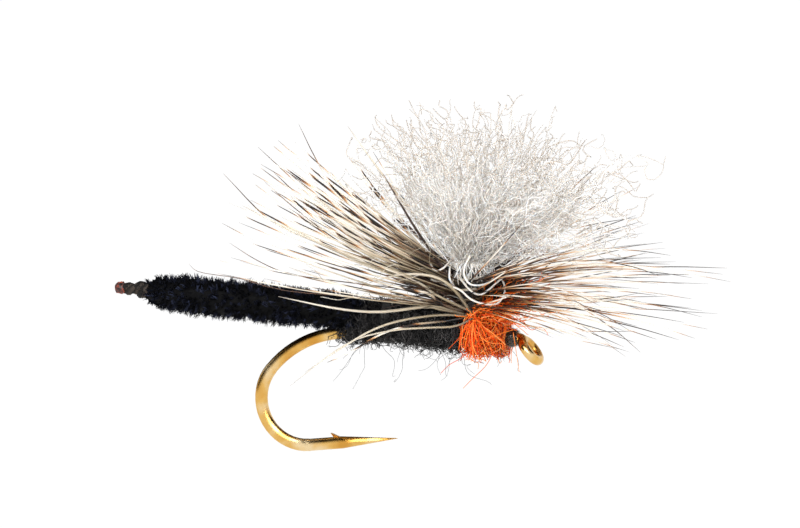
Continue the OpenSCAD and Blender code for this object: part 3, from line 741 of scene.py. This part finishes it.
# Long barbs that curve up at the tip, above and behind the others
straggling_guides = np.array([
    [(-4.3, -0.8, 3.0), (-7.7, -1.0, 4.2), (-10.3, -1.2, 5.0), (-12.8, -1.4, 6.1), (-15.1, -1.6, 8.3)],
    [(-4.7, 0.4, 3.0), (-9.8, 0.8, 5.7), (-11.0, 1.0, 6.6), (-12.3, 1.2, 7.7), (-14.4, 1.5, 9.4)],
    [(-4.5, 0.4, 2.9), (-7.5, 1.0, 4.3), (-9.9, 1.5, 6.6), (-11.5, 2.0, 8.7), (-12.6, 2.4, 10.5)],
    [(-4.3, -0.8, 2.8), (-8.8, -1.2, 3.8), (-11.3, -1.4, 4.5), (-13.7, -1.5, 5.2), (-15.2, -1.6, 5.9)],
    [(-4.0, -1.0, 2.7), (-9.6, -1.9, 3.3), (-11.7, -2.1, 3.6), (-13.2, -2.2, 4.2), (-14.6, -2.2, 5.0)],
    [(-4.4, -0.5, 2.9), (-7.9, -0.5, 4.2), (-9.8, -0.5, 5.2), (-11.8, -0.5, 6.6), (-13.4, -0.5, 7.9)],
    [(-4.4, 0.3, 3.0), (-6.8, 0.5, 4.6), (-8.3, 0.6, 6.1), (-9.9, 0.7, 7.3), (-12.0, 0.8, 8.5)],
])
straggling = smooth(straggling_guides * mm, knots)
straggling_width = np.array([0.75, 0.65, 0.6, 0.5, 0.42, 0.5, 0.8])
straggling_column = np.array([4, 3, 5, 2, 31, 30, 14])
paths = np.concatenate([paths, web_paths, caught, straggling])
width = np.concatenate([width, rng.uniform(0.6, 1.4, web), caught_width, straggling_width])
web_column = rng.integers(dark_from, columns, web)
column = np.concatenate([column, web_column, caught_column, straggling_column])
radii = np.interp(step, [0, 0.06, 0.5, 0.8, 0.93, 1], [0.06, 0.062, 0.058, 0.042, 0.025, 0.008]) * mm
barb_piece = tubes("hackle_barbs", paths, radii * width[:, None], columns, column, sides=4, flat=0.5)
# Fine pale down grows on the barbs towards the tail
downs = 60
on_barb = rng.choice(np.flatnonzero(to_tail > 0.75), downs)
start = paths[on_barb, rng.integers(2, 11, downs)]
down_long = rng.uniform(0.6, 2.4, downs) * mm
down_way = rng.normal(0, 1, (downs, 3))
down_way /= np.linalg.norm(down_way, axis=1, keepdims=True)
down_way[:, 2] = np.abs(down_way[:, 2])
down_paths = start[:, None] + (down_long[:, None] * step)[..., None] * down_way[:, None]
down_paths += crinkle(rng, down_long, knots, wave=2.0 * mm, size=0.2 * mm)
down_r = np.full((downs, knots), 0.014 * mm)
down = tubes("hackle_down", down_paths, down_r, columns, rng.integers(26, dark_from, downs))

barred_feather, tree = bare_tree("barred_cock_feather")
spot = add(tree, "ShaderNodeUVMap", uv_map="OFBake").outputs["UV"]
axes = add(tree, "ShaderNodeSeparateXYZ", {"Vector": spot})
shift = add(
    tree, "ShaderNodeMath", {0: axes.outputs["Y"], 1: 1.1, 2: -0.12}, operation="MULTIPLY_ADD"
)
reach = add(tree, "ShaderNodeMath", {0: axes.outputs["X"], 1: shift.outputs["Value"]}, operation="ADD")
tipped = add(
    tree, "ShaderNodeValToRGB", {"Fac": reach.outputs["Value"]},
    stops=[
        (0.0, "#1a110b"), (0.3, "#2a1a10"), (0.41, "#71451f"), (0.49, "#b98d5f"), (0.57, "#d6cdbf"),
        (0.76, "#dcd4c7"), (0.82, "#96693f"), (0.87, "#2a2019"), (0.97, "#241c17"),
    ],
)
bar_count = 3.4
bar_shift = 9.7
start = add(tree, "ShaderNodeMath", {0: axes.outputs["Y"], 1: bar_shift}, operation="MULTIPLY")
run = add(
    tree, "ShaderNodeMath",
    {0: axes.outputs["X"], 1: bar_count, 2: start.outputs["Value"]}, operation="MULTIPLY_ADD",
)
cycle = add(tree, "ShaderNodeMath", {0: run.outputs["Value"]}, operation="FRACT")
dashed = add(
    tree, "ShaderNodeValToRGB", {"Fac": cycle.outputs["Value"]},
    stops=[
        (0.0, "#ded6c9"), (0.46, "#d6ccbc"), (0.54, "#b98a58"), (0.61, "#6f4424"), (0.67, "#20160f"),
        (0.87, "#1a120e"), (0.92, "#6b4526"), (0.97, "#ded6c9"),
    ],
)
pale = add(
    tree, "ShaderNodeValToRGB", {"Fac": axes.outputs["X"]},
    stops=[(0.0, "#5a4d3c"), (0.25, "#86785f"), (0.5, "#ada18b"), (0.9, "#c9c1b3"), (1.0, "#8f8270")],
)
shaded_root = add(
    tree, "ShaderNodeValToRGB", {"Fac": axes.outputs["X"]},
    stops=[(0.0, "#33261b"), (0.2, "#5d4833"), (0.36, "#d3c6b4"), (0.46, "#ffffff")],
)
darkened = add(
    tree, "ShaderNodeMix",
    {"Factor": 1.0, "A": dashed.outputs["Color"], "B": shaded_root.outputs["Color"]},
    data_type="RGBA", blend_type="MULTIPLY",
)
coloured = tipped.outputs["Color"]
bands = (
    (barred_from, darkened.outputs["Result"]),
    (pale_from, pale.outputs["Color"]),
    (dark_from, linear("#2f2018")),
)
for first, chosen in bands:
    past = add(
        tree, "ShaderNodeMath", {0: axes.outputs["Y"], 1: first / columns}, operation="GREATER_THAN"
    )
    coloured = add(
        tree, "ShaderNodeMix", {"Factor": past.outputs["Value"], "A": coloured, "B": chosen},
        data_type="RGBA",
    ).outputs["Result"]
feather = add(
    tree, "ShaderNodeBsdfPrincipled",
    {
        "Base Color": coloured, "Roughness": 0.35, "Subsurface Weight": 0.6,
        "Subsurface Radius": (1.0, 0.9, 0.8), "Subsurface Scale": soak_depth,
    },
)
add(tree, "ShaderNodeOutputMaterial", {"Surface": feather.outputs["BSDF"]})
for piece in (stem, barb_piece, down):
    piece.data.materials.append(barred_feather)
    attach(piece, "root")
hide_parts("parachute_hackle")


# Orange dubbing covers the foot of the post and the thread up to the head. It is a bright synthetic
# fur, wound tight, with loops and long hairs that have worked loose.
thorax_low, thorax_high = (np.array(corner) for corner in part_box("thorax_dubbing"))
thorax_r = (thorax_high[1] - thorax_low[1]) / 2
thorax_front_lift = 0.08 * mm
thorax_rear_lift = 0.24 * mm
thorax_slant = 0.24
thorax_axis = (
    np.array([thorax_high[0] - 0.05 * mm, 0, shank_z + thorax_front_lift]),
    np.array([thorax_low[0] + 0.8 * mm, 0, shank_z + thorax_rear_lift]),
)


def thorax_reach(share):
    """Radius of the orange dubbing from the head to the black dubbing."""
    return thorax_r * np.interp(share, [0, 0.12, 0.35, 0.65, 0.85, 1], [0.34, 0.44, 0.6, 0.78, 0.8, 0.7])


def slanted(piece_paths):
    """Leans the rear of the orange dubbing, which is wound on at a slant."""
    leaned = piece_paths.copy()
    share = (thorax_axis[0][0] - leaned[..., 0]) / (thorax_axis[0][0] - thorax_axis[1][0])
    leaned[..., 0] += thorax_slant * np.clip(share, 0, 1.2) * (leaned[..., 2] - shank_z)
    return leaned


rng = np.random.default_rng(55)
rings, sides = 40, 40
s = np.linspace(0, 1, rings)
orange_mass = tubes(
    "orange_dubbing_mass", (thorax_axis[0] + s[:, None] * (thorax_axis[1] - thorax_axis[0]))[None],
    0.86 * thorax_reach(s)[None], sides=sides, swell=lump_noise(rng, rings, sides, 0.06),
)
knots = 16
wound = spun_fibres(
    rng, 850, thorax_axis, thorax_reach, length=(1.0 * mm, 2.8 * mm), k=knots,
    wave=1.6 * mm, size=0.07 * mm, lift=(-0.04, 0.14), wrap=(0.4, 0.95), skew=0.5,
)
unwound = spun_fibres(
    rng, 260, thorax_axis, thorax_reach, length=(0.6 * mm, 1.8 * mm), k=knots,
    wave=1.0 * mm, size=0.12 * mm, lift=(0.05, 0.45), wrap=(0.1, 0.8), skew=0.6,
)
paths = np.concatenate([wound, unwound])
ends = rng.normal(0, 0.25, (2, len(paths), 1)) * mm
paths[..., 0] = np.clip(paths[..., 0], thorax_axis[1][0] + ends[0], thorax_axis[0][0] - np.abs(ends[1]))
radii = np.broadcast_to(np.linspace(0.036, 0.018, knots) * mm, paths.shape[:2])
orange_spun = tubes("orange_dubbing", slanted(paths), radii, shades, rng.integers(0, shades, len(paths)))
# Long hairs have come away from the near side
knots = 30
step = np.linspace(0, 1, knots)
stray_guides = [
    [(-2.7, -1.2, 1.7), (-1.6, -1.3, 1.5), (-1, -1, 1.2), (-0.5, -0.6, 1)],
    [(-2.2, -1.2, 0.5), (-1.4, -1.2, 0.8), (-0.8, -0.9, 1), (-0.5, -0.5, 1.1)],
    [(-2.8, -1.1, -0.1), (-3.2, -1.3, -0.4), (-3.7, -1.4, -0.7), (-4.1, -1.4, -1.1)],
    [(-1.6, -1, -0.1), (-1.9, -1.2, -0.7), (-2.5, -1.3, -1.3), (-3, -1.3, -1.8)],
    [(-0.7, -0.6, 0.9), (-0.6, -0.6, 0.3), (-0.5, -0.6, -0.3), (-0.4, -0.6, -1)],
    [(-2.5, -1.2, 1.5), (-2.9, -1.4, 1), (-3.3, -1.4, 0.5), (-3.7, -1.4, 0.1)],
]
stray = np.stack([smooth(np.array(points) * mm, knots) for points in stray_guides])
# Wisps at the top reach ahead under the hackle
wisps = 240
wisp_long = rng.uniform(0.6, 2.2, wisps) * mm
wisp_scatter = np.array([0.45, 0.6, 0.3]) * mm
wisp_root = np.array([-1.85, -0.55, 1.9]) * mm + rng.normal(0, 1, (wisps, 3)) * wisp_scatter
wisp_way = np.array([0.8, 0, 0.25]) + rng.normal(0, 0.35, (wisps, 3))
wisp_paths = wisp_root[:, None] + (wisp_long[:, None] * step)[..., None] * wisp_way[:, None]
wisp_paths += crinkle(rng, wisp_long, knots, wave=1.2 * mm, size=0.1 * mm)
# Strands drawn from under the hackle's root, over the near side, to the head and the underside
rays, rim_points = 26, 60
rim_guides = np.array([(-3.4, -1, 0.3), (-2.7, -1, -0.3), (-1.7, -0.9, -0.25), (-0.8, -0.6, 0.6)])
rim = smooth(rim_guides * mm, rim_points)
ray_end = rim[rng.integers(0, rim_points, rays)] + rng.normal(0, 0.08, (rays, 3)) * mm
ray_start = np.array([-2.45, -1.1, 1.6]) * mm + rng.normal(0, 0.16, (rays, 3)) * mm
ray_middle = (ray_start + ray_end) / 2 + rng.normal([0, -0.32, 0], 0.12, (rays, 3)) * mm
ray_paths = smooth(np.stack([ray_start, ray_middle, ray_end], axis=1), knots)
stray = np.concatenate([stray, wisp_paths, ray_paths])
stray_r = np.repeat([0.018, 0.019, 0.029], [len(stray_guides), wisps, rays])[:, None] * mm
stray_r = stray_r * np.linspace(1, 0.7, knots)
stray_piece = tubes("orange_strays", stray, stray_r, shades, rng.integers(6, 30, len(stray)), sides=4)
# Fibres differ in shade at random; the darkest reds are painted shade in the depths and the palest oranges
# painted highlights
orange_fur = fibre_material(
    "orange_synthetic_dubbing",
    [(0.0, "#521002"), (0.25, "#bb2c03"), (0.5, "#ee5008"), (0.8, "#fb7526"), (1.0, "#ffa765")],
    roughness=0.4, specular=0.2, glow=0.6,
)
for piece in (orange_mass, orange_spun, stray_piece):
    piece.data.materials.append(orange_fur)
    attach(piece, "root")
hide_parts("thorax_dubbing")


# The head is black thread, wound up to the eye and back over itself, and finished with a knot under
# its own turns. They show as fine, close ridges.
head_low, head_high = (np.array(corner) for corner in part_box("head_wraps"))
head_r = (head_high[1] - head_low[1]) / 2
thread_r = 0.034 * mm
head_turns = 17
knots = 520
s = np.linspace(0, 1, knots)
there_and_back = 1 - np.abs(1 - 2 * s)
turn = 2 * np.pi * head_turns * s
taper = np.interp(there_and_back, [0, 0.3, 0.6, 1], [0.86, 1.0, 0.94, 0.72]) * head_r - thread_r
layer = np.where(s < 0.5, taper - 1.3 * thread_r, taper)
head_x = head_low[0] + thread_r + (head_high[0] - head_low[0] - 2 * thread_r) * there_and_back
paths = np.stack([head_x, layer * np.cos(turn), shank_z + layer * np.sin(turn)], axis=1)[None]
head = tubes("thread_head", paths, np.full((1, knots), thread_r), sides=6)
black_thread = fibre_material("black_head_thread", [(0.0, "#0d0d0d"), (1.0, "#1f1d1c")], roughness=0.4)
head.data.materials.append(black_thread)
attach(head, "root")
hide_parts("head_wraps")


# Head cement is a thin clear varnish, brushed over the thread so that the knot holds. It is glossy and
# a little amber.
clear_varnish, tree = bare_tree("clear_varnish")
film = add(
    tree, "ShaderNodeBsdfPrincipled",
    {"Base Color": linear("#3a2a1c"), "Roughness": 0.12, "Alpha": 0.25, "Coat Weight": 0.5},
)
add(tree, "ShaderNodeOutputMaterial", {"Surface": film.outputs["BSDF"]})
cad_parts["head_cement"].material_slots[0].material = clear_varnish


# The studio: a white floor well below the fly, a white room with dark cards overhead and towards the
# tail that only mirrored rays meet, and one large soft lamp above and in front. The camera looks at
# the fly's side, from a little ahead of it and a little above.
def seen_or_mirrored(tree):
    """The light path node, and the value that is 1 for rays from the camera and for mirrored ones."""
    light_path = add(tree, "ShaderNodeLightPath")
    seen = add(
        tree, "ShaderNodeMath",
        {0: light_path.outputs["Is Camera Ray"], 1: light_path.outputs["Is Glossy Ray"]},
        operation="MAXIMUM",
    )
    return light_path, seen.outputs["Value"]


floor_drop = 9 * mm
floor_half = 2.0
floor_glow = 0.9
floor_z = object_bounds()[0][2] - floor_drop
floor_mesh = bpy.data.meshes.new("floor")
floor_mesh.from_pydata(
    [(x * floor_half, y * floor_half, floor_z) for x, y in ((-1, -1), (1, -1), (1, 1), (-1, 1))],
    [], [(0, 1, 2, 3)],
)
floor = bpy.data.objects.new("floor", floor_mesh)
bpy.context.collection.objects.link(floor)
white_paper, tree = bare_tree("white_paper")
_, seen = seen_or_mirrored(tree)
paper = add(tree, "ShaderNodeBsdfDiffuse", {"Color": linear("#f4f4f4")})
glow = add(tree, "ShaderNodeEmission", {"Color": linear("#ffffff"), "Strength": 1.0})
share = add(tree, "ShaderNodeMath", {0: seen, 1: floor_glow}, operation="MULTIPLY")
mixed = add(
    tree, "ShaderNodeMixShader",
    {0: share.outputs["Value"], 1: paper.outputs["BSDF"], 2: glow.outputs["Emission"]},
)
add(tree, "ShaderNodeOutputMaterial", {"Surface": mixed.outputs["Shader"]})
floor_mesh.materials.append(white_paper)

world = bpy.data.worlds.new("white_room")
bpy.context.scene.world = world
world.use_nodes = True
tree = world.node_tree
tree.nodes.clear()
light_path, seen = seen_or_mirrored(tree)
through = add(
    tree, "ShaderNodeMath", {0: seen, 1: light_path.outputs["Is Transmission Ray"]}, operation="MAXIMUM"
)
way = add(tree, "ShaderNodeTexCoord").outputs["Generated"]
axes = add(tree, "ShaderNodeSeparateXYZ", {"Vector": way})
behind = add(tree, "ShaderNodeMath", {0: axes.outputs["X"], 1: 0.0}, operation="MINIMUM")
overhead = add(tree, "ShaderNodeMath", {0: axes.outputs["Z"], 1: 0.0}, operation="MAXIMUM")
aslant = add(
    tree, "ShaderNodeCombineXYZ", {"X": behind.outputs["Value"], "Z": overhead.outputs["Value"]}
)
tilt = add(tree, "ShaderNodeVectorMath", {0: aslant.outputs["Vector"]}, operation="LENGTH")
cards = add(
    tree, "ShaderNodeValToRGB", {"Fac": tilt.outputs["Value"]},
    stops=[(0.4, "#ffffff"), (0.46, "#2a2016"), (0.54, "#0f0b07"), (0.96, "#0f0b07"), (0.99, "#ffffff")],
)
mirrored = add(
    tree, "ShaderNodeMix",
    {"Factor": light_path.outputs["Is Glossy Ray"], "A": linear("#ffffff"), "B": cards.outputs["Color"]},
    data_type="RGBA",
)
dim = add(tree, "ShaderNodeBackground", {"Color": linear("#fdfdff"), "Strength": 1.3})
bright = add(tree, "ShaderNodeBackground", {"Color": mirrored.outputs["Result"], "Strength": 1.0})
mixed = add(
    tree, "ShaderNodeMixShader",
    {0: through.outputs["Value"], 1: dim.outputs["Background"], 2: bright.outputs["Background"]},
)
add(tree, "ShaderNodeOutputWorld", {"Surface": mixed.outputs["Shader"]})

aim = bpy.data.objects.new("aim", None)
aim.location = (-6.62 * mm, 0, 4.0 * mm)
bpy.context.collection.objects.link(aim)


def towards_aim(piece, azimuth, elevation, distance):
    """Places an object round the aim, looking at it, by compass angle and height in degrees."""
    a, e = np.radians(azimuth), np.radians(elevation)
    away = np.array([np.sin(a) * np.cos(e), -np.cos(a) * np.cos(e), np.sin(e)])
    piece.location = np.array(aim.location) + distance * away
    hold = piece.constraints.new("TRACK_TO")
    hold.target = aim
    hold.track_axis = "TRACK_NEGATIVE_Z"
    hold.up_axis = "UP_Y"
    bpy.context.collection.objects.link(piece)


key = bpy.data.lights.new("key", "AREA")
key.size = 0.16
key.energy = 0.45
towards_aim(bpy.data.objects.new("key", key), azimuth=10, elevation=30, distance=0.2)

camera = bpy.data.cameras.new("camera")
picture_wide = 38.7 * mm
camera_far = 0.4
camera.sensor_width = 36
camera.lens = camera.sensor_width * camera_far / picture_wide
camera.clip_start = 0.01
camera_piece = bpy.data.objects.new("camera", camera)
towards_aim(camera_piece, azimuth=18, elevation=5, distance=camera_far)
bpy.context.scene.camera = camera_piece
bpy.context.scene.view_settings.view_transform = "Standard"
